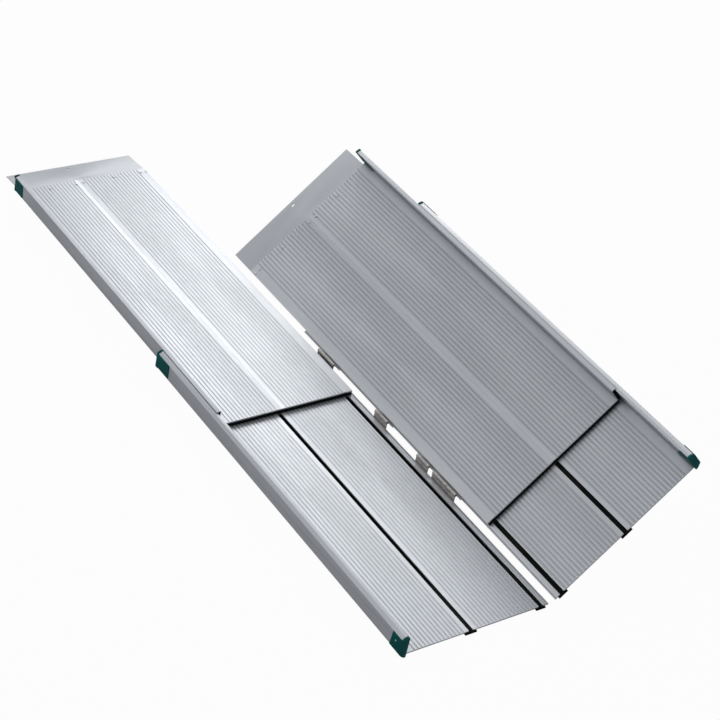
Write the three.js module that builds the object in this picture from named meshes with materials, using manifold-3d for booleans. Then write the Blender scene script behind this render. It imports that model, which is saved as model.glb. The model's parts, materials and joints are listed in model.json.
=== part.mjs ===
// Portable wheelchair ramp: two telescopic halves joined lengthwise by four hinges.
//
// Each half is laid out flat in its own frame, in millimetres:
//   u  across the ramp, outward from the hinge line
//   y  along the ramp, from the foot (0) to the landing end
//   z  up, from the top of the lower tread's ribs
// The left half lies flat with u along -X. The right half is folded up about the hinge line.

import * as THREE from 'three';
import { mergeVertices } from 'three/addons/utils/BufferGeometryUtils.js';
import Module from 'manifold-3d';

const wasm = await Module();
wasm.setup();

// ---- Driving dimensions ------------------------------------------------------------------

const GAP = 0.3;                 // between touching pieces
const FAR = 2000;                // longer than anything here, for cutting blocks

const FOLD = THREE.MathUtils.degToRad(42.6);   // how far the right half is folded up
const HINGE_HEIGHT = 14;         // hinge line above the lower tread
const FLOOR = -11;               // underside of runners and channels

const LOWER_LENGTH = 906;
const UPPER_LENGTH = 921;
const LEFT_UPPER_START = 685;    // where each upper section's lower end stands
const RIGHT_UPPER_START = 220;

const HALF_WIDTH = 381.8;        // hinge line to the right half's outer face
const RIB_PITCH = 8.725;
const GROOVE = { width: 4, depth: 0.9, slant: 0.9 };
const RIGHT_OUTER_GROOVES = 17;
const LEFT_OUTER_GROOVES = 14;   // the left half is three ribs narrower, to nest in the right
const INNER_GROOVES = 17;

const PLATE = 3.2;               // tread thickness
const WALL = 2;
const RUNNER = 2;                // thickness of the runners under the treads
const LOWER_RUNNERS = { inner: [75, 135], outer: [240, 290] };
const UPPER_RUNNERS = { inner: [60, 105, 150], outer: [230, 285] };
const FOOT_RELIEF = 14;          // runners and channels stop short of the foot

const STRIP = { edge: 2.5, bead: 2, grooveWidth: 1.6, grooveDepth: 0.9, grooveSlant: 0.3 };
const INNER_SLOT = { middle: 21.1, width: 9.8, channel: 32, insertFlange: 22.5, insert: 123, keelFlange: 24 };
const CENTRE_SLOT = { middle: 188.8, width: 9.6, channel: 34, insertFlange: 27, insert: 135, keelFlange: 28 };
const INSERT = { flange: 3, sunk: 0.4, overhang: 3 };
const KEEL = { flange: 2.6, web: 6, foot: 20, footTop: -5.2, footThickness: 2.5, inset: 4, endInset: 8 };
const LOWER_INNER_FIRST_GROOVE = 31.8;
const LOWER_OUTER_FIRST_GROOVE = 206.1;

const LOWER_RAIL = {
  width: 12.6, shelf: 5.6, innerTop: 43.6, ridge: 43, outerTop: 38.8, outerFoot: 4.6, tip: -4, tipInset: 9.8,
};

const UPPER_TOP = 11.5;          // upper tread's ribs above the lower tread's ribs
const UPPER_EDGE = 8;
const UPPER_JOINT = 185;         // where the two upper panels meet, over the centre keel
const UPPER_INNER_FIRST_GROOVE = 32.2;
const UPPER_OUTER_FIRST_GROOVE = 198.2;
const UPPER_RAIL = { width: 6.5, flange: 2.9, flangeTop: 46, top: 47.8, crest: 2.7, ease: 0.8, wall: 1.6 };
const RAIL_CLEARANCE = 0.6;      // between the sliding rail and the lower rail
const GLIDE = 0.5;               // underside of what slides, above the lower ribs
const DECK_SHORT = 9;            // tread ends before the rail cap's face
const END_STRIP = 2.5;           // thickness of the plastic at the upper section's lower end

const LIP = { reach: 68.5, drop: 11, thickness: 3, tongue: 40, runnerGap: 4, width: 348.4 };
const LIP_HOLE = { fromInner: 172, fromTip: 13, radius: 2.6, reach: 2 };
const RIVET_ROW = 24;            // rivets, before the rail cap's face
const RIVET_PLACES = [12.5, 25.8, 97.8, 178.2, 197.7, 264];
const RIVET = { head: 3, crown: 1.4, shank: 1.6, tail: 0.8 };

const CAP = { plate: 4.5, skirt: 1.2, corner: 2.5, lobe: 4, inset: 1 };
const SKIRTS = {                 // how far each runs from its end plate, low down and high up
  footOuter: { low: 31, high: 28 },
  footInner: { low: 49, high: 22 },
  topOuter: { low: 47, high: 46, lift: 3 },
  slideOuter: { low: 36, high: 32 },
  slideInner: { low: 44, high: 16 },
};
const CAP_SCREW = { y: 14, z: 26, head: 2, crown: 1, shank: 1.1, tail: 1 };

const HINGE = { knuckle: 3.5, pin: 1.5, pinOverhang: 0.8, leaf: 1.7, leafEdge: 0.45, slack: 0.2, notch: 0.6 };
const HINGES = [                 // from the landing end to the foot
  { middle: 800, length: 61, knuckles: 5 },
  { middle: 585, length: 45, knuckles: 3 },
  { middle: 432, length: 42, knuckles: 3 },
  { middle: 356, length: 79, knuckles: 5 },
];

// ---- Materials ---------------------------------------------------------------------------

function material(color, roughness, metalness) {
  return new THREE.MeshStandardMaterial({ color, roughness, metalness });
}

const BRIGHT_ALUMINIUM = () => material(0xd9dbdf, 0.4, 0.9);
const GREY_ALUMINIUM = () => material(0xa9adb4, 0.45, 0.9);
const DARK_ALUMINIUM = () => material(0x1c1c1e, 0.5, 0.6);
const STEEL = () => material(0x7c7470, 0.4, 1);
const BLACK_PLASTIC = () => material(0x141414, 0.6, 0);
const GREEN_PLASTIC = () => material(0x124a46, 0.5, 0);

// ---- Solids ------------------------------------------------------------------------------

function toSolid(geometry) {
  const bare = geometry.clone();
  bare.deleteAttribute('normal');
  bare.deleteAttribute('uv');
  const merged = mergeVertices(bare, 1e-4);
  return new wasm.Manifold(new wasm.Mesh({
    numProp: 3,
    vertProperties: new Float32Array(merged.attributes.position.array),
    triVerts: new Uint32Array(merged.index.array),
  }));
}

function toGeometry(solid) {
  const mesh = solid.getMesh();
  const geometry = new THREE.BufferGeometry();
  geometry.setAttribute('position', new THREE.BufferAttribute(mesh.vertProperties, 3));
  geometry.setIndex(new THREE.BufferAttribute(mesh.triVerts, 1));
  geometry.computeVertexNormals();
  return geometry;
}

function cut(geometry, ...tools) {
  const solid = tools.reduce((rest, tool) => rest.subtract(toSolid(tool)), toSolid(geometry));
  return toGeometry(solid);
}

function join(geometry, ...others) {
  const solid = others.reduce((whole, other) => whole.add(toSolid(other)), toSolid(geometry));
  return toGeometry(solid);
}

const vectors = (points) => points.map(([a, b]) => new THREE.Vector2(a, b));

function shapeOf(points, holes = []) {
  const shape = new THREE.Shape(vectors(points));
  shape.holes = holes.map((hole) => new THREE.Path(vectors(hole)));
  return shape;
}

// A closed outline with its corners rounded. radii holds one radius per corner, 0 for a sharp one.
function rounded(points, radii) {
  const steps = 4;
  return points.flatMap(([x, y], i) => {
    if (radii[i] === 0) return [[x, y]];
    const corner = new THREE.Vector2(x, y);
    const [before, after] = [points.at(i - 1), points[(i + 1) % points.length]].map(([a, b]) => {
      const way = new THREE.Vector2(a, b).sub(corner);
      return way.setLength(Math.min(radii[i], way.length() / 2)).add(corner);
    });
    return new THREE.QuadraticBezierCurve(before, corner, after).getPoints(steps).map((p) => [p.x, p.y]);
  });
}

// A section in (u, z), pulled along the ramp. side is 1 on the right half, -1 on the left.
function bar(side, section, from, to, holes = []) {
  const flip = (points) => points.map(([u, z]) => [side * u, z]);
  const shape = shapeOf(flip(section), holes.map(flip));
  const geometry = new THREE.ExtrudeGeometry(shape, { depth: to - from, bevelEnabled: false });
  return geometry.rotateX(Math.PI / 2).translate(0, to, 0);
}

// A side view in (y, z), pulled across the ramp from one u to another.
function slab(side, profile, from, to) {
  const geometry = new THREE.ExtrudeGeometry(shapeOf(profile), { depth: to - from, bevelEnabled: false });
  geometry.applyMatrix4(new THREE.Matrix4().makeBasis(
    new THREE.Vector3(0, 1, 0), new THREE.Vector3(0, 0, 1), new THREE.Vector3(1, 0, 0)));
  return geometry.translate(side > 0 ? from : -to, 0, 0);
}

function block(side, [u0, u1], [y0, y1], [z0, z1]) {
  return bar(side, [[u0, z0], [u1, z0], [u1, z1], [u0, z1]], y0, y1);
}

function rod(radius, from, to, x, z, segments = 24) {
  const geometry = new THREE.CylinderGeometry(radius, radius, to - from, segments);
  return geometry.translate(x, (from + to) / 2, z);
}

function post(side, radius, u, y, [z0, z1], segments = 12) {
  const geometry = new THREE.CylinderGeometry(radius, radius, z1 - z0, segments);
  return geometry.rotateX(Math.PI / 2).translate(side * u, y, (z0 + z1) / 2);
}

// A shank along Y from low to seat, with a flat-topped domed head above seat.
function turnedFastener({ head, crown, shank }, low, seat) {
  const profile = [
    [0, low],
    [shank, low],
    [shank, seat],
    [head, seat],
    [head * 0.8, seat + crown * 0.7],
    [head * 0.4, seat + crown],
    [0, seat + crown],
  ];
  return new THREE.LatheGeometry(vectors(profile), 16);
}

// ---- Sections ----------------------------------------------------------------------------

const LOWER_UNDER = -PLATE;
const UPPER_UNDER = UPPER_TOP - PLATE;
const FLANGE_UNDER = LOWER_RAIL.innerTop + RAIL_CLEARANCE;
const PLUG_TOP = FLANGE_UNDER + UPPER_RAIL.wall / 2;

// The top line of a ribbed tread from u0 to u1, with its grooves.
function ribbedTop(u0, u1, firstGroove, grooves, top) {
  const points = [[u0, top]];
  for (let i = 0; i < grooves; i += 1) {
    const middle = firstGroove + i * RIB_PITCH;
    const rim = GROOVE.width / 2;
    const bed = rim - GROOVE.slant;
    points.push([middle - rim, top], [middle - bed, top - GROOVE.depth]);
    points.push([middle + bed, top - GROOVE.depth], [middle + rim, top]);
  }
  points.push([u1, top]);
  return points;
}

// The underside of a tread from u1 back to u0, with runners reaching down to foot.
function underside(u0, u1, under, runners, foot) {
  const points = [[u1, under]];
  for (const u of [...runners].sort((a, b) => b - a)) {
    points.push([u + RUNNER / 2, under], [u + RUNNER / 2, foot]);
    points.push([u - RUNNER / 2, foot], [u - RUNNER / 2, under]);
  }
  points.push([u0, under]);
  return points;
}

// Outline of the lower rail: a bevelled foot, a top that slopes up to a ridge, and a shelf inside it.
function lowerRailOutline(outer) {
  const { width, shelf, innerTop, ridge, outerTop, outerFoot, tip, tipInset } = LOWER_RAIL;
  const inner = outer - width;
  return [
    [inner, tip],
    [outer - tipInset, tip],
    [outer, outerFoot],
    [outer, outerTop],
    [inner + shelf, ridge],
    [inner, innerTop],
  ];
}

function lowerRailHollow(outer) {
  const { width, shelf, ridge, outerTop, outerFoot } = LOWER_RAIL;
  const inner = outer - width;
  const ceiling = ridge - 1.5 * WALL;
  return [
    [inner + WALL, 0],
    [outer - WALL, outerFoot + WALL / 2],
    [outer - WALL, outerTop - WALL],
    [inner + shelf, ceiling],
    [inner + WALL, ceiling],
  ];
}

// Outline of the upper rail: its flange reaches out over the lower rail's shelf.
function upperRailOutline(outer) {
  const { width, flange, flangeTop, top, crest, ease } = UPPER_RAIL;
  const inner = outer - width;
  return [
    [inner, UPPER_UNDER],
    [outer, UPPER_UNDER],
    [outer, FLANGE_UNDER],
    [outer + flange, FLANGE_UNDER],
    [outer + flange, flangeTop],
    [inner + crest, top],
    [inner + ease, top],
    [inner, top - ease],
  ];
}

function upperRailHollow(outer) {
  const { width, wall } = UPPER_RAIL;
  const inner = outer - width;
  const [low, high] = [UPPER_UNDER + wall, LOWER_RAIL.innerTop];
  return [[inner + wall, low], [outer - wall, low], [outer - wall, high], [inner + wall, high]];
}

// A mitred outline at a distance outside a closed anticlockwise one.
function offsetOutline(points, distance) {
  return points.map((point, i) => {
    const before = points[(i + points.length - 1) % points.length];
    const after = points[(i + 1) % points.length];
    const normal = ([ax, ay], [bx, by]) => new THREE.Vector2(by - ay, ax - bx).normalize();
    const n1 = normal(before, point);
    const n2 = normal(point, after);
    const mitre = n1.clone().add(n2).multiplyScalar(distance / (1 + n1.dot(n2)));
    return [point[0] + mitre.x, point[1] + mitre.y];
  });
}

// ---- Lower section -----------------------------------------------------------------------

const slotSides = ({ middle, width }) => [middle - width / 2, middle + width / 2];

function withFootRelief(side, geometry, u0, u1) {
  return cut(geometry, block(side, [u0, u1], [-1, FOOT_RELIEF], [FLOOR - 1, LOWER_UNDER - GAP]));
}

function lowerRailPanel(side, outer, grooves) {
  const u0 = slotSides(CENTRE_SLOT)[1];
  const railInner = outer - LOWER_RAIL.width;
  const rail = lowerRailOutline(outer);
  const section = [
    ...ribbedTop(u0, railInner, LOWER_OUTER_FIRST_GROOVE, grooves, 0),
    ...rail.slice(1).reverse(),
    [railInner, LOWER_RAIL.tip],
    ...underside(u0, railInner, LOWER_UNDER, LOWER_RUNNERS.outer, FLOOR),
  ];
  const panel = bar(side, section, 0, LOWER_LENGTH, [lowerRailHollow(outer)]);
  return withFootRelief(side, cut(panel, capScrewHole(side, outer)), u0, railInner - WALL);
}

function lowerInnerPanel(side) {
  const u0 = slotSides(INNER_SLOT)[1];
  const u1 = slotSides(CENTRE_SLOT)[0];
  const section = [
    ...ribbedTop(u0, u1, LOWER_INNER_FIRST_GROOVE, INNER_GROOVES, 0),
    ...underside(u0, u1, LOWER_UNDER, LOWER_RUNNERS.inner, FLOOR),
  ];
  return withFootRelief(side, bar(side, section, 0, LOWER_LENGTH), u0, u1);
}

// An angle: the narrow tread beside the hinge line, and the flange that the leaves stand against.
function hingeEdgeStrip(side) {
  const u1 = slotSides(INNER_SLOT)[0];
  const { edge, bead, grooveWidth, grooveDepth, grooveSlant } = STRIP;
  const groove = edge + bead;
  const section = [
    [edge, FLOOR],
    [edge + WALL, FLOOR],
    [edge + WALL, LOWER_UNDER],
    [u1, LOWER_UNDER],
    [u1, 0],
    [groove + grooveWidth, 0],
    [groove + grooveWidth - grooveSlant, -grooveDepth],
    [groove + grooveSlant, -grooveDepth],
    [groove, 0],
    [edge, 0],
  ];
  return withFootRelief(side, bar(side, section, 0, LOWER_LENGTH), edge - 1, u1);
}

// A U channel under a slot, which joins the pieces on its two sides.
function slotChannel(side, { middle, channel }) {
  const half = channel / 2;
  const top = LOWER_UNDER - GAP;
  const section = [
    [middle - half, FLOOR],
    [middle + half, FLOOR],
    [middle + half, top],
    [middle + half - WALL, top],
    [middle + half - WALL, FLOOR + WALL],
    [middle - half + WALL, FLOOR + WALL],
    [middle - half + WALL, top],
    [middle - half, top],
  ];
  return bar(side, section, FOOT_RELIEF, LOWER_LENGTH);
}

// A T section upside down: the web fills the slot and the flange lies under the treads.
function slotInsert(side, { middle, width, insertFlange, insert }) {
  const web = width / 2 - GAP;
  const half = insertFlange / 2;
  const shoulder = LOWER_UNDER - 2 * GAP;
  const section = [
    [middle - half, shoulder - INSERT.flange],
    [middle + half, shoulder - INSERT.flange],
    [middle + half, shoulder],
    [middle + web, shoulder],
    [middle + web, -INSERT.sunk],
    [middle - web, -INSERT.sunk],
    [middle - web, shoulder],
    [middle - half, shoulder],
  ];
  return bar(side, section, -INSERT.overhang, insert);
}

// An end plate with slanted skirts on the rail's faces. radii rounds the plate's corners.
// direction is 1 where the skirts run towards the landing end, -1 towards the foot.
function railCap({ side, outline, radii, start, direction, skirts }) {
  const ends = [start, start - direction * CAP.plate].sort((a, b) => a - b);
  const face = bar(side, rounded(offsetOutline(outline, GAP + CAP.skirt), radii), ...ends);
  const root = start - direction;
  return join(face, ...skirts.map(({ from, z: [bottom, top], low, high }) => {
    const profile = [
      [root, bottom],
      [root + direction * low, bottom],
      [root + direction * high, top],
      [root, top],
    ];
    return slab(side, direction > 0 ? profile : profile.reverse(), from, from + CAP.skirt);
  }));
}

function footCap(side, outer) {
  const { width, outerFoot, outerTop, innerTop } = LOWER_RAIL;
  const whole = railCap({
    side,
    outline: lowerRailOutline(outer),
    radii: [CAP.corner, CAP.corner, CAP.corner, CAP.corner, 0, CAP.lobe],
    start: -GAP,
    direction: 1,
    skirts: [
      { from: outer + GAP, z: [outerFoot, outerTop], ...SKIRTS.footOuter },
      { from: outer - width - GAP - CAP.skirt, z: [GAP, innerTop - CAP.inset], ...SKIRTS.footInner },
    ],
  });
  return cut(whole, capScrewHole(side, outer));
}

// From the rail's hollow out through the foot cap's outer skirt.
function capScrewHole(side, outer) {
  const { y, z, shank, tail } = CAP_SCREW;
  const radius = shank + GAP;
  const hole = new THREE.CylinderGeometry(radius, radius, 2 * (WALL + tail), 12).rotateZ(Math.PI / 2);
  return hole.translate(side * outer, y, z);
}

// Holds the foot cap to the rail.
function capScrew(side, outer) {
  const { y, z, tail } = CAP_SCREW;
  const screw = turnedFastener(CAP_SCREW, -WALL - tail, GAP + CAP.skirt + GAP);
  return screw.rotateZ(-side * Math.PI / 2).translate(side * outer, y, z);
}

// The upper rail slides past this cap's inner side, so it has an outer skirt only.
function lowerTopCap(side, outer) {
  const { width, shelf, outerFoot, outerTop, innerTop } = LOWER_RAIL;
  const inner = outer - width;
  const start = LOWER_LENGTH + GAP;
  const whole = railCap({
    side,
    outline: lowerRailOutline(outer),
    radii: [0, CAP.corner, CAP.corner, CAP.corner, 0, 0],
    start,
    direction: -1,
    skirts: [{ from: outer + GAP, z: [outerFoot + SKIRTS.topOuter.lift, outerTop], ...SKIRTS.topOuter }],
  });
  const reach = [start - 1, start + CAP.plate + 1];
  const passage = block(side, [inner - FAR, inner], reach, [FLOOR - 1, FAR]);
  const flangeRoom = block(side, [inner - FAR, inner + shelf], reach, [innerTop, FAR]);
  return cut(whole, passage, flangeRoom);
}

// ---- Upper section -----------------------------------------------------------------------

const DECK_END = UPPER_LENGTH - DECK_SHORT;
const RAIL_END = UPPER_LENGTH - CAP.plate - GAP;
const TONGUE_START = DECK_END - LIP.tongue;
const upperOuter = (outer) => outer - LOWER_RAIL.width - RAIL_CLEARANCE;

const rivetRow = (start) => start + UPPER_LENGTH - RIVET_ROW;
const rivetHole = (side, u, start) => post(side, RIVET.shank + GAP, u, rivetRow(start), [0, 2 * UPPER_TOP]);

// Room for the lip's tongue and for the plastic under the tread's lower end, with the rivets' holes.
function finishUpperPanel(side, panel, start, [u0, u1], rivets) {
  const tongueEnd = start + TONGUE_START - LIP.runnerGap;
  const tongueRoom = block(side, [u0 - 1, u1], [tongueEnd, start + FAR], [-1, UPPER_UNDER]);
  const deckEnd = block(side, [u0 - 1, u1], [start + DECK_END, start + FAR], [-1, UPPER_TOP + 1]);
  const stripRoom = block(side, [u0 - 1, u1], [start - 1, start + END_STRIP + GAP], [-1, UPPER_UNDER]);
  return cut(panel, tongueRoom, deckEnd, stripRoom, ...rivets.map((u) => rivetHole(side, u, start)));
}

function upperRailPanel(side, outer, grooves, start) {
  const u0 = UPPER_JOINT + GAP / 2;
  const rail = upperOuter(outer);
  const railInner = rail - UPPER_RAIL.width;
  const section = [
    ...ribbedTop(u0, railInner, UPPER_OUTER_FIRST_GROOVE, grooves, UPPER_TOP),
    ...upperRailOutline(rail).slice(1).reverse(),
    ...underside(u0, railInner, UPPER_UNDER, UPPER_RUNNERS.outer, GLIDE).slice(1),
  ];
  const panel = bar(side, section, start, start + RAIL_END, [upperRailHollow(rail)]);
  const plugEnds = [start - 1, start + END_STRIP + GAP];
  const plugRoom = block(side, [railInner - GAP, rail + GAP], plugEnds, [-1, PLUG_TOP + GAP]);
  const rivets = RIVET_PLACES.filter((u) => u > u0);
  return finishUpperPanel(side, cut(panel, plugRoom), start, [u0, railInner], rivets);
}

function upperInnerPanel(side, start) {
  const u1 = UPPER_JOINT - GAP / 2;
  const section = [
    ...ribbedTop(UPPER_EDGE, u1, UPPER_INNER_FIRST_GROOVE, INNER_GROOVES, UPPER_TOP),
    ...underside(UPPER_EDGE, u1, UPPER_UNDER, UPPER_RUNNERS.inner, GLIDE),
  ];
  const panel = bar(side, section, start, start + UPPER_LENGTH);
  return finishUpperPanel(side, panel, start, [UPPER_EDGE, u1 + 1], RIVET_PLACES.filter((u) => u < u1));
}

// A plate riveted under the treads and bent down to meet the landing.
function landingLip(side, width, start) {
  const top = UPPER_UNDER - GAP;
  const tip = UPPER_LENGTH + LIP.reach;
  const tipTop = UPPER_TOP - LIP.drop;
  const profile = [
    [TONGUE_START, top - LIP.thickness],
    [DECK_END, top - LIP.thickness],
    [tip, tipTop - LIP.thickness / 2],
    [tip, tipTop],
    [DECK_END, top],
    [TONGUE_START, top],
  ].map(([y, z]) => [start + y, z]);
  const plate = slab(side, profile, UPPER_EDGE, UPPER_EDGE + width);
  return cut(plate, lipHole(side, start + tip), ...RIVET_PLACES.map((u) => rivetHole(side, u, start)));
}

// An oval hole, longer across the ramp.
function lipHole(side, tip) {
  const y = tip - LIP_HOLE.fromTip;
  const middle = UPPER_EDGE + LIP_HOLE.fromInner;
  const height = [-FAR, FAR];
  const ends = [middle - LIP_HOLE.reach, middle + LIP_HOLE.reach];
  const waist = block(side, ends, [y - LIP_HOLE.radius, y + LIP_HOLE.radius], height);
  return join(waist, ...ends.map((u) => post(side, LIP_HOLE.radius, u, y, height, 16)));
}

// Its shank goes through the tread and the lip.
function lipRivet(side, u, start) {
  const low = UPPER_UNDER - GAP - LIP.thickness - RIVET.tail;
  const rivet = turnedFastener(RIVET, low, UPPER_TOP + GAP);
  return rivet.rotateX(Math.PI / 2).translate(side * u, rivetRow(start), 0);
}

// Plastic under the upper tread's lower end, which closes the step down to the lower tread.
function endStrip(side, outer, start) {
  const u = [UPPER_EDGE, upperOuter(outer) - UPPER_RAIL.width - GAP];
  return block(side, u, [start, start + END_STRIP], [GLIDE, UPPER_UNDER - GAP]);
}

// Closes the sliding rail's lower end, under its flange.
function railEnd(side, outer, start) {
  const rail = upperOuter(outer);
  return block(side, [rail - UPPER_RAIL.width, rail], [start, start + END_STRIP], [UPPER_UNDER, PLUG_TOP]);
}

// An I section: the top flange under the treads, the web in the slot, the foot in the channel.
function keel(side, { middle, keelFlange }, start) {
  const top = UPPER_UNDER - GAP;
  const under = top - KEEL.flange;
  const half = keelFlange / 2;
  const web = KEEL.web / 2;
  const foot = KEEL.foot / 2;
  const right = [[foot, KEEL.footTop], [web, KEEL.footTop], [web, under], [half, under], [half, top]];
  const left = [...right].reverse().map(([u, z]) => [-u, z]);
  const bottom = KEEL.footTop - KEEL.footThickness;
  const section = [[-foot, bottom], [foot, bottom], ...right, ...left].map(([u, z]) => [middle + u, z]);
  return bar(side, section, start + KEEL.inset, start + TONGUE_START - KEEL.endInset);
}

function upperRailCap(side, outer, start) {
  const rail = upperOuter(outer);
  const inner = rail - UPPER_RAIL.width;
  const outerFace = [UPPER_UNDER + CAP.inset, FLANGE_UNDER - GAP];
  const innerFace = [UPPER_TOP + GAP, UPPER_RAIL.top - 2 * CAP.inset];
  return railCap({
    side,
    outline: upperRailOutline(rail),
    radii: [CAP.corner, CAP.corner, 0, 0, 0, 0, CAP.corner, 0],
    start: start + RAIL_END + GAP,
    direction: -1,
    skirts: [
      { from: rail + GAP, z: outerFace, ...SKIRTS.slideOuter },
      { from: inner - GAP - CAP.skirt, z: innerFace, ...SKIRTS.slideInner },
    ],
  });
}

// ---- Hinges ------------------------------------------------------------------------------

// Leaves are drawn with the hinge line at u = 0 in their own half's frame.
// The two leaves take turns along the hinge line: one's knuckle stands in the other's notch.
function hingeLeaf(side, { middle, length, knuckles }) {
  const { knuckle, pin, leaf, leafEdge, slack, notch } = HINGE;
  const start = middle - length / 2;
  const end = middle + length / 2;
  const pitch = length / knuckles;
  const plate = block(side, [leafEdge, leafEdge + leaf], [start, end], [FLOOR, HINGE_HEIGHT]);
  const barrels = [];
  const notches = [];
  for (let i = 0; i < knuckles; i += 1) {
    const y0 = start + i * pitch;
    const y1 = y0 + pitch;
    const own = (side < 0) === (i % 2 === 0);
    if (own) {
      barrels.push(rod(knuckle, y0 + slack, y1 - slack, 0, HINGE_HEIGHT));
    } else {
      const height = [HINGE_HEIGHT - knuckle - notch, HINGE_HEIGHT + 1];
      notches.push(block(side, [0, 2 * knuckle], [y0 - slack, y1 + slack], height));
    }
  }
  const bore = rod(pin + GAP, start - 1, end + 1, 0, HINGE_HEIGHT, 16);
  return cut(join(cut(plate, ...notches), ...barrels), bore);
}

function hingePin({ middle, length }) {
  const reach = length / 2 + HINGE.pinOverhang;
  return rod(HINGE.pin, middle - reach, middle + reach, 0, HINGE_HEIGHT, 16);
}

// ---- Assembly ----------------------------------------------------------------------------

function piece(name, geometry, look) {
  const mesh = new THREE.Mesh(geometry, look());
  mesh.name = name;
  return mesh;
}

function buildHalf({ name, side, outer, grooves, start }) {
  const half = new THREE.Group();
  const add = (part, geometry, look) => half.add(piece(`${name}_${part}`, geometry, look));
  const lipWidth = LIP.width - (HALF_WIDTH - outer);

  add('lower_rail_panel', lowerRailPanel(side, outer, grooves), GREY_ALUMINIUM);
  add('lower_inner_panel', lowerInnerPanel(side), GREY_ALUMINIUM);
  add('hinge_edge_strip', hingeEdgeStrip(side), GREY_ALUMINIUM);
  add('centre_slot_channel', slotChannel(side, CENTRE_SLOT), DARK_ALUMINIUM);
  add('inner_slot_channel', slotChannel(side, INNER_SLOT), DARK_ALUMINIUM);
  add('centre_slot_insert', slotInsert(side, CENTRE_SLOT), BLACK_PLASTIC);
  add('inner_slot_insert', slotInsert(side, INNER_SLOT), BLACK_PLASTIC);
  add('foot_cap', footCap(side, outer), GREEN_PLASTIC);
  add('foot_cap_screw', capScrew(side, outer), STEEL);
  add('lower_top_cap', lowerTopCap(side, outer), GREEN_PLASTIC);

  add('upper_rail_panel', upperRailPanel(side, outer, grooves, start), BRIGHT_ALUMINIUM);
  add('upper_inner_panel', upperInnerPanel(side, start), BRIGHT_ALUMINIUM);
  add('landing_lip', landingLip(side, lipWidth, start), BRIGHT_ALUMINIUM);
  add('upper_end_strip', endStrip(side, outer, start), BLACK_PLASTIC);
  add('upper_rail_end', railEnd(side, outer, start), BLACK_PLASTIC);
  add('centre_keel', keel(side, CENTRE_SLOT, start), GREY_ALUMINIUM);
  add('inner_keel', keel(side, INNER_SLOT, start), GREY_ALUMINIUM);
  add('upper_rail_cap', upperRailCap(side, outer, start), GREEN_PLASTIC);
  RIVET_PLACES.forEach((u, i) => add(`lip_rivet_${i + 1}`, lipRivet(side, u, start), STEEL));
  return half;
}

const narrowing = (RIGHT_OUTER_GROOVES - LEFT_OUTER_GROOVES) * RIB_PITCH;
const left = buildHalf({
  name: 'left', side: -1, outer: HALF_WIDTH - narrowing, grooves: LEFT_OUTER_GROOVES, start: LEFT_UPPER_START,
});
const right = buildHalf({
  name: 'right', side: 1, outer: HALF_WIDTH, grooves: RIGHT_OUTER_GROOVES, start: RIGHT_UPPER_START,
});
HINGES.forEach((hinge, i) => {
  left.add(piece(`hinge_${i + 1}_left_leaf`, hingeLeaf(-1, hinge), STEEL));
  left.add(piece(`hinge_${i + 1}_pin`, hingePin(hinge), STEEL));
  right.add(piece(`hinge_${i + 1}_right_leaf`, hingeLeaf(1, hinge), STEEL));
});

// The right half turns about the hinge line.
right.position.z = -HINGE_HEIGHT;
const folded = new THREE.Group();
folded.position.z = HINGE_HEIGHT;
folded.rotation.y = -FOLD;
folded.add(right);

const ramp = new THREE.Group();
ramp.add(left, folded);

// The origin is the middle of the underside of the ramp's box.
const box = new THREE.Box3().setFromObject(ramp, true);
ramp.position.set(-(box.min.x + box.max.x) / 2, -(box.min.y + box.max.y) / 2, -box.min.z);

export default ramp;
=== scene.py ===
import json
import math

import bmesh
import bpy
from mathutils import Matrix, Vector


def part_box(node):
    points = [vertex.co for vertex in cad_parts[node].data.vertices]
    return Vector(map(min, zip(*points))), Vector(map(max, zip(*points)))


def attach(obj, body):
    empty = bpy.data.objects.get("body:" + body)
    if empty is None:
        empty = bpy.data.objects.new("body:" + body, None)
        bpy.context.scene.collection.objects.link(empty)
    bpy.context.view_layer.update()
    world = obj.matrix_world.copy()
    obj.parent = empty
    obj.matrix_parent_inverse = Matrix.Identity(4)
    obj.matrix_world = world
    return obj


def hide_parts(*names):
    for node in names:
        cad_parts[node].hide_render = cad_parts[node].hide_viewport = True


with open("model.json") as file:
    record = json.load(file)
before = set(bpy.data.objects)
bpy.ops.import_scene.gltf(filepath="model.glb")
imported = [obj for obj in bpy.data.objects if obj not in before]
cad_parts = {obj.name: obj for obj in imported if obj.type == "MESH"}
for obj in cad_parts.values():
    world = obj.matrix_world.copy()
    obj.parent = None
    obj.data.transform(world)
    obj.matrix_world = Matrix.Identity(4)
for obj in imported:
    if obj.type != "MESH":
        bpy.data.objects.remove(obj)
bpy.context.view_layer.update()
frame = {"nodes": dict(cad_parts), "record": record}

MM = 0.001
NODES = frame["nodes"]
BEHAVIOUR = frame["record"]["behaviour"]
BODY_OF = {node: body for body, nodes in BEHAVIOUR["bodies"].items() for node in nodes}
SLOT_OF = {part["node"]: part["material_slot"] for part in frame["record"]["subparts"]}
JOINTS = {joint["name"]: joint for joint in BEHAVIOUR["joints"]}
HINGE_LINE = Vector(JOINTS["fold"]["pos_m"])
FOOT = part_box("left_lower_rail_panel")[0][1]     # y of the lower sections' foot

# ---- Camera ------------------------------------------------------------------------------

# The aim is a point set off from the foot end of the hinge line.
AIM_ASIDE = 14.0 * MM
AIM_ALONG = 707.5 * MM
AIM_ABOVE = 56.1 * MM
CAMERA_AIM = Vector((HINGE_LINE.x + AIM_ASIDE, FOOT + AIM_ALONG, HINGE_LINE.z + AIM_ABOVE))
CAMERA_DISTANCE = 4.3
CAMERA_AZIMUTH = math.radians(-40.99)
CAMERA_ELEVATION = math.radians(35.39)
CAMERA_ROLL = math.radians(12.7)
CAMERA_LENS = 102.4


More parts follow.
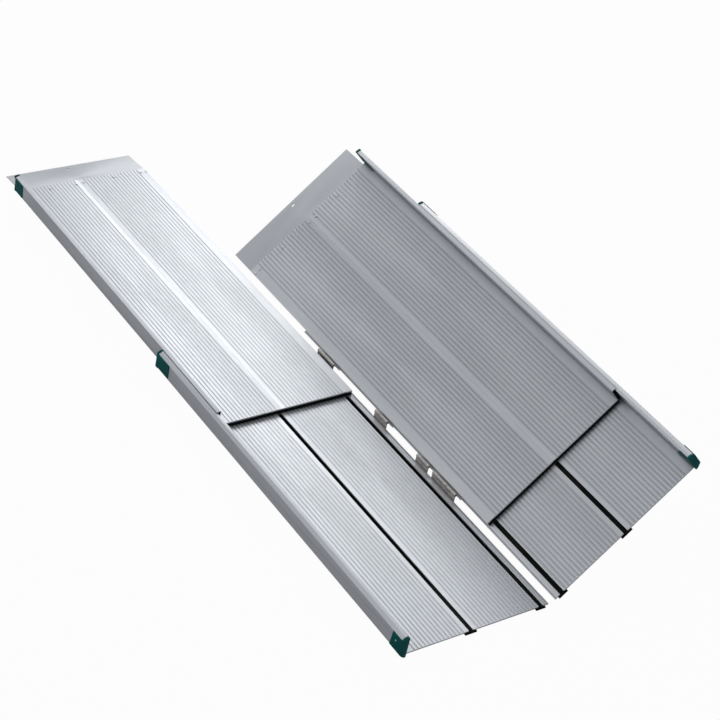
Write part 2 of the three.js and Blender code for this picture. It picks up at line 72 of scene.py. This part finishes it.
def make_camera():
    """The view from beyond the foot end, on the left half's side."""
    data = bpy.data.cameras.new("camera")
    data.sensor_width = 36
    data.lens = CAMERA_LENS
    data.clip_end = 50
    camera = bpy.data.objects.new("camera", data)
    bpy.context.scene.collection.objects.link(camera)
    back = Vector((
        math.sin(CAMERA_AZIMUTH) * math.cos(CAMERA_ELEVATION),
        -math.cos(CAMERA_AZIMUTH) * math.cos(CAMERA_ELEVATION),
        math.sin(CAMERA_ELEVATION),
    ))
    place = Matrix.Translation(CAMERA_AIM + back * CAMERA_DISTANCE)
    turn = back.to_track_quat("Z", "Y").to_matrix().to_4x4()
    camera.matrix_world = place @ turn @ Matrix.Rotation(CAMERA_ROLL, 4, "Z")
    bpy.context.scene.camera = camera


# ---- Studio ------------------------------------------------------------------------------

WORLD_COLOUR = (0.93, 0.95, 1, 1)
WORLD_STRENGTH = 0.38
FLOOR_REACH = 8
FLOOR_GREY = (0.55, 0.55, 0.56, 1)
FLOOR_GLOW = 0.97                # how much of the floor's pale look is its own light


def area_light(name, place, aim, size, power):
    """A soft rectangular lamp at place, turned to face aim; sizes are in metres and power in watts."""
    data = bpy.data.lights.new(name, "AREA")
    data.shape = "RECTANGLE"
    data.size, data.size_y = size
    data.energy = power
    light = bpy.data.objects.new(name, data)
    light.location = place
    light.rotation_euler = (Vector(aim) - Vector(place)).to_track_quat("-Z", "Y").to_euler()
    bpy.context.scene.collection.objects.link(light)


def make_studio():
    """Wide soft lights; the key stands where the flat left half mirrors it towards the camera."""
    scene = bpy.context.scene
    scene.view_settings.view_transform = "Standard"
    world = bpy.data.worlds.new("studio")
    scene.world = world
    world.use_nodes = True
    background = world.node_tree.nodes["Background"]
    background.inputs["Color"].default_value = WORLD_COLOUR
    background.inputs["Strength"].default_value = WORLD_STRENGTH
    area_light("key", (3.7, 3.2, 3.2), (-0.1, 0.0, 0), (4.2, 1.8), 80)
    area_light("far", (0.2, 1.7, 1.5), (-0.05, 0.4, 0), (1.6, 1.0), 5)
    area_light("left", (-2.7, 2.0, 1.7), (0.1, 0, 0.1), (1.8, 1.2), 10)
    area_light("top", (-0.6, 0.2, 3.2), (-0.1, 0, 0), (2.6, 3.2), 10)
    make_floor()


def make_floor():
    """A floor that glows almost white to the camera, and is plain grey to all other light."""
    mesh = bpy.data.meshes.new("floor")
    corners = [(x * FLOOR_REACH, y * FLOOR_REACH, 0) for x, y in ((-1, -1), (1, -1), (1, 1), (-1, 1))]
    mesh.from_pydata(corners, [], [(0, 1, 2, 3)])
    floor = bpy.data.objects.new("floor", mesh)
    bpy.context.scene.collection.objects.link(floor)
    material = bpy.data.materials.new("floor")
    material.use_nodes = True
    nodes, links = material.node_tree.nodes, material.node_tree.links
    shader = nodes["Principled BSDF"]
    shader.inputs["Base Color"].default_value = FLOOR_GREY
    shader.inputs["Roughness"].default_value = 0.9
    glow = nodes.new("ShaderNodeEmission")
    glow.inputs["Color"].default_value = (1, 1, 1, 1)
    seen = nodes.new("ShaderNodeLightPath")
    share = nodes.new("ShaderNodeMath")
    share.operation = "MULTIPLY"
    share.inputs[1].default_value = FLOOR_GLOW
    mix = nodes.new("ShaderNodeMixShader")
    links.new(seen.outputs["Is Camera Ray"], share.inputs[0])
    links.new(share.outputs[0], mix.inputs[0])
    links.new(shader.outputs[0], mix.inputs[1])
    links.new(glow.outputs[0], mix.inputs[2])
    links.new(mix.outputs[0], nodes["Material Output"].inputs["Surface"])
    mesh.materials.append(material)


# ---- Material building blocks ------------------------------------------------------------

COLOUR_MIX_INPUTS = (0, 6, 7)    # a mix node's factor and two colours, among its sockets of every kind
COLOUR_MIX_RESULT = 2


class Paint:
    """A material's node tree, with short calls for the nodes used here."""

    def __init__(self, name):
        self.material = bpy.data.materials.new(name)
        self.material.use_nodes = True
        self.nodes = self.material.node_tree.nodes
        self.links = self.material.node_tree.links
        self.shader = self.nodes["Principled BSDF"]
        self.place = self.nodes.new("ShaderNodeTexCoord").outputs["Object"]

    def set(self, **values):
        """Sets the shader's own sockets; an underscore stands for a space in a socket's name."""
        for name, value in values.items():
            self.shader.inputs[name.replace("_", " ")].default_value = value

    def feed(self, name, output):
        """Links a node's output to one of the shader's sockets."""
        self.links.new(output, self.shader.inputs[name])

    def give(self, socket, value):
        """Links a socket to another node's output, or sets it to a number or colour."""
        if isinstance(value, bpy.types.NodeSocket):
            self.links.new(value, socket)
        elif isinstance(value, tuple):
            socket.default_value = (*value, 1)
        else:
            socket.default_value = value

    def noise(self, scale, detail, stretch=(1, 1, 1), roughness=0.5):
        """A pattern in the object's own space, mostly between 0.3 and 0.7."""
        mapping = self.nodes.new("ShaderNodeMapping")
        mapping.inputs["Scale"].default_value = stretch
        self.links.new(self.place, mapping.inputs["Vector"])
        noise = self.nodes.new("ShaderNodeTexNoise")
        noise.inputs["Scale"].default_value = scale
        noise.inputs["Detail"].default_value = detail
        noise.inputs["Roughness"].default_value = roughness
        self.links.new(mapping.outputs[0], noise.inputs["Vector"])
        return noise.outputs["Fac"]

    def ramp(self, value, low, high, start=0.3, end=0.7):
        """value from start to end becomes low to high; low and high are numbers or colours.

        start and end are by default the range that a noise spreads over.
        """
        if isinstance(low, (int, float)):
            node = self.nodes.new("ShaderNodeMapRange")
            for name, number in (("From Min", start), ("From Max", end), ("To Min", low), ("To Max", high)):
                node.inputs[name].default_value = number
            self.links.new(value, node.inputs["Value"])
            return node.outputs["Result"]
        node = self.nodes.new("ShaderNodeValToRGB")
        stops = node.color_ramp.elements
        stops[0].position, stops[0].color = start, (*low, 1)
        stops[1].position, stops[1].color = end, (*high, 1)
        self.links.new(value, node.inputs[0])
        return node.outputs["Color"]

    def mix(self, factor, a, b):
        """Colour a where factor is 0, and colour b where it is 1."""
        node = self.nodes.new("ShaderNodeMix")
        node.data_type = "RGBA"
        for number, value in zip(COLOUR_MIX_INPUTS, (factor, a, b)):
            self.give(node.inputs[number], value)
        return node.outputs[COLOUR_MIX_RESULT]

    def math(self, how, a, b):
        node = self.nodes.new("ShaderNodeMath")
        node.operation = how
        self.give(node.inputs[0], a)
        self.give(node.inputs[1], b)
        return node.outputs[0]

    def bump(self, height, strength, distance):
        """Relief that only tilts the shading; distance is its depth in metres."""
        node = self.nodes.new("ShaderNodeBump")
        node.inputs["Strength"].default_value = strength
        node.inputs["Distance"].default_value = distance
        self.links.new(height, node.inputs["Height"])
        self.links.new(node.outputs[0], self.shader.inputs["Normal"])

    def hollows(self, distance):
        """1 on open faces, falling to 0 deep in grooves and corners."""
        node = self.nodes.new("ShaderNodeAmbientOcclusion")
        node.samples = 8
        node.inputs["Distance"].default_value = distance
        return node.outputs["AO"]

    def edges(self):
        """0.5 on flat faces, more along outer edges."""
        return self.nodes.new("ShaderNodeNewGeometry").outputs["Pointiness"]


ALONG = (1, 0.012, 1)            # stretches a pattern along the extrusions
DIE_LINES = {"strength": 0.12, "distance": 0.06 * MM}    # the fine relief that extrusion leaves
GROOVE_SHADE = (0.09, 0.09, 0.095)      # painted shade in the aluminium's grooves and recesses
GROOVE_SHADE_SHARE = 0.75
BARE_METAL = (0.85, 0.86, 0.87)  # the aluminium's worn edges
DUST = (0.08, 0.08, 0.078)
RUBBED_BLACK = (0.2, 0.2, 0.21)  # the black channels' rubbed edges
# painted shade in the steel's hollows and joints
STEEL_HOLLOW_SHADE = (0.02, 0.018, 0.016)


def shade(tone, by):
    """tone made darker or lighter, and never past white."""
    return tuple(min(1, part * by) for part in tone)


def aluminium(name, tone):
    """Satin extruded aluminium: die lines along it, faint clouding, painted shade in the grooves."""
    paint = Paint(name)
    lines = paint.noise(900, 3, ALONG, 0.7)
    clouds = paint.noise(9, 5)
    scuffs = paint.noise(160, 6, (1, 0.25, 1), 0.75)
    light = shade(tone, 1.04)
    dark = shade(tone, 0.95)
    colour = paint.ramp(clouds, dark, light)
    colour = paint.mix(0.35, colour, paint.ramp(lines, dark, light))
    # Painted shade: the colour darkens where grooves and recesses are occluded.
    hollow_shade = paint.ramp(paint.hollows(5 * MM), 1.0, 0.0, 0.5, 0.96)
    colour = paint.mix(paint.math("MULTIPLY", hollow_shade, GROOVE_SHADE_SHARE), colour, GROOVE_SHADE)
    worn = paint.ramp(paint.edges(), 0.0, 0.5, 0.52, 0.6)
    colour = paint.mix(worn, colour, BARE_METAL)
    paint.feed("Base Color", colour)
    streaks = paint.ramp(lines, 0.37, 0.45)
    rubbed = paint.ramp(scuffs, 0, 0.06, 0.45, 0.75)
    paint.feed("Roughness", paint.math("ADD", streaks, rubbed))
    paint.set(Metallic=0.75, Specular_IOR_Level=0.5, Anisotropic=0.35)
    paint.bump(lines, **DIE_LINES)
    return paint.material


def dark_aluminium(name, tone):
    """Near-black extrusion for the slot channels, its black a painted shade for the slots' dark inside:
    faint die lines and dust, rubbed lighter along the edges.
    """
    paint = Paint(name)
    lines = paint.noise(700, 3, ALONG, 0.7)
    dust = paint.noise(60, 5)
    colour = paint.ramp(lines, shade(tone, 0.7), shade(tone, 1.4))
    colour = paint.mix(paint.ramp(dust, 0.0, 0.12, 0.5, 0.8), colour, DUST)
    colour = paint.mix(paint.ramp(paint.edges(), 0.0, 0.3, 0.54, 0.64), colour, RUBBED_BLACK)
    paint.feed("Base Color", colour)
    paint.feed("Roughness", paint.ramp(lines, 0.5, 0.65))
    paint.set(Metallic=0.3, Specular_IOR_Level=0.15)
    paint.bump(lines, **DIE_LINES)
    return paint.material


def plastic(name, tone, grain, roughness):
    """Moulded plastic: fine spark-eroded grain, slight clouding, scuffed edges."""
    paint = Paint(name)
    fine = paint.noise(grain, 2)
    clouds = paint.noise(35, 4)
    colour = paint.ramp(clouds, shade(tone, 0.8), shade(tone, 1.25))
    worn = paint.ramp(paint.edges(), 0.0, 0.2, 0.55, 0.66)
    colour = paint.mix(worn, colour, shade(tone, 2))
    paint.feed("Base Color", colour)
    paint.feed("Roughness", paint.ramp(clouds, roughness - 0.06, roughness + 0.08))
    paint.set(Specular_IOR_Level=0.08)
    paint.bump(fine, 0.25, 0.1 * MM)
    return paint.material


def steel(name, tone, roughness):
    """Dull steel: mottled, with painted shade in its joints and hollows."""
    paint = Paint(name)
    spots = paint.noise(260, 5, (1, 0.4, 1), 0.7)
    colour = paint.ramp(spots, shade(tone, 0.7), shade(tone, 1.25), 0.35, 0.65)
    # Painted shade: the colour darkens where joints and hollows are occluded.
    hollow_shade = paint.ramp(paint.hollows(6 * MM), 1.0, 0.0, 0.3, 0.85)
    paint.feed("Base Color", paint.mix(hollow_shade, colour, STEEL_HOLLOW_SHADE))
    paint.feed("Roughness", paint.ramp(spots, roughness - 0.08, roughness + 0.12))
    paint.set(Metallic=0.85)
    paint.bump(spots, 0.2, 0.08 * MM)
    return paint.material


LOOKS = {
    "lower_aluminium": aluminium("lower_aluminium", (0.61, 0.63, 0.66)),
    "upper_aluminium": aluminium("upper_aluminium", (0.56, 0.58, 0.61)),
    # The channels' near-black tone is painted shade for the dark inside of the slots.
    "dark_aluminium": dark_aluminium("dark_aluminium", (0.012, 0.012, 0.013)),
    "green_plastic": plastic("green_plastic", (0.001, 0.10, 0.092), 2600, 0.5),
    "black_plastic": plastic("black_plastic", (0.003, 0.003, 0.0035), 3000, 0.6),
    "hinge_steel": steel("hinge_steel", (0.56, 0.52, 0.49), 0.45),
    "rivet_metal": steel("rivet_metal", (0.8, 0.81, 0.83), 0.35),
}


# ---- Finished pieces ---------------------------------------------------------------------

SHARP = math.radians(24)         # an edge that turns more than this is rounded over
FLAT = math.radians(0.6)         # facets that turn less than this are joined
SHADING_BREAK = 2 * SHARP        # a bend past this keeps a hard line in the shading
ROUND_OVER_STEPS = 2
CAD_WELD = 0.01 * MM
ROUND_OVER_WELD = 0.001 * MM


def finished(node, slot):
    """A copy of a CAD node with every sharp edge rounded over, which stands in for it."""
    mesh = bpy.data.meshes.new(node + "_finished")
    bm = bmesh.new()
    bm.from_mesh(NODES[node].data)
    bmesh.ops.remove_doubles(bm, verts=bm.verts, dist=CAD_WELD)
    bmesh.ops.dissolve_limit(bm, angle_limit=FLAT, verts=bm.verts, edges=bm.edges)
    corners = [edge for edge in bm.edges if len(edge.link_faces) == 2 and edge.calc_face_angle(0) > SHARP]
    bmesh.ops.bevel(
        bm, geom=corners, offset=ROUND_OVER[slot], offset_type="OFFSET", segments=ROUND_OVER_STEPS,
        profile=0.5, affect="EDGES", clamp_overlap=True, loop_slide=True)
    bmesh.ops.remove_doubles(bm, verts=bm.verts, dist=ROUND_OVER_WELD)
    for face in bm.faces:
        face.smooth = True
    for edge in bm.edges:
        edge.smooth = len(edge.link_faces) != 2 or edge.calc_face_angle(0) < SHADING_BREAK
    bm.to_mesh(mesh)
    bm.free()
    piece = bpy.data.objects.new(node + "_finished", mesh)
    bpy.context.scene.collection.objects.link(piece)
    mesh.materials.append(LOOKS[slot])
    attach(piece, BODY_OF[node])
    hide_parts(node)
    weigh = piece.modifiers.new("face_normals", "WEIGHTED_NORMAL")
    weigh.keep_sharp = True


# Rivets and screws have turned heads, and keep the CAD mesh.
ROUND_OVER = {
    "lower_aluminium": 0.35 * MM,
    "upper_aluminium": 0.35 * MM,
    "dark_aluminium": 0.3 * MM,
    "green_plastic": 0.6 * MM,
    "black_plastic": 0.3 * MM,
    "hinge_steel": 0.25 * MM,
}

make_camera()
make_studio()
for name in sorted(NODES):
    slot = SLOT_OF[name]
    if slot in ROUND_OVER:
        finished(name, slot)
    else:
        NODES[name].data.materials.clear()
        NODES[name].data.materials.append(LOOKS[slot])
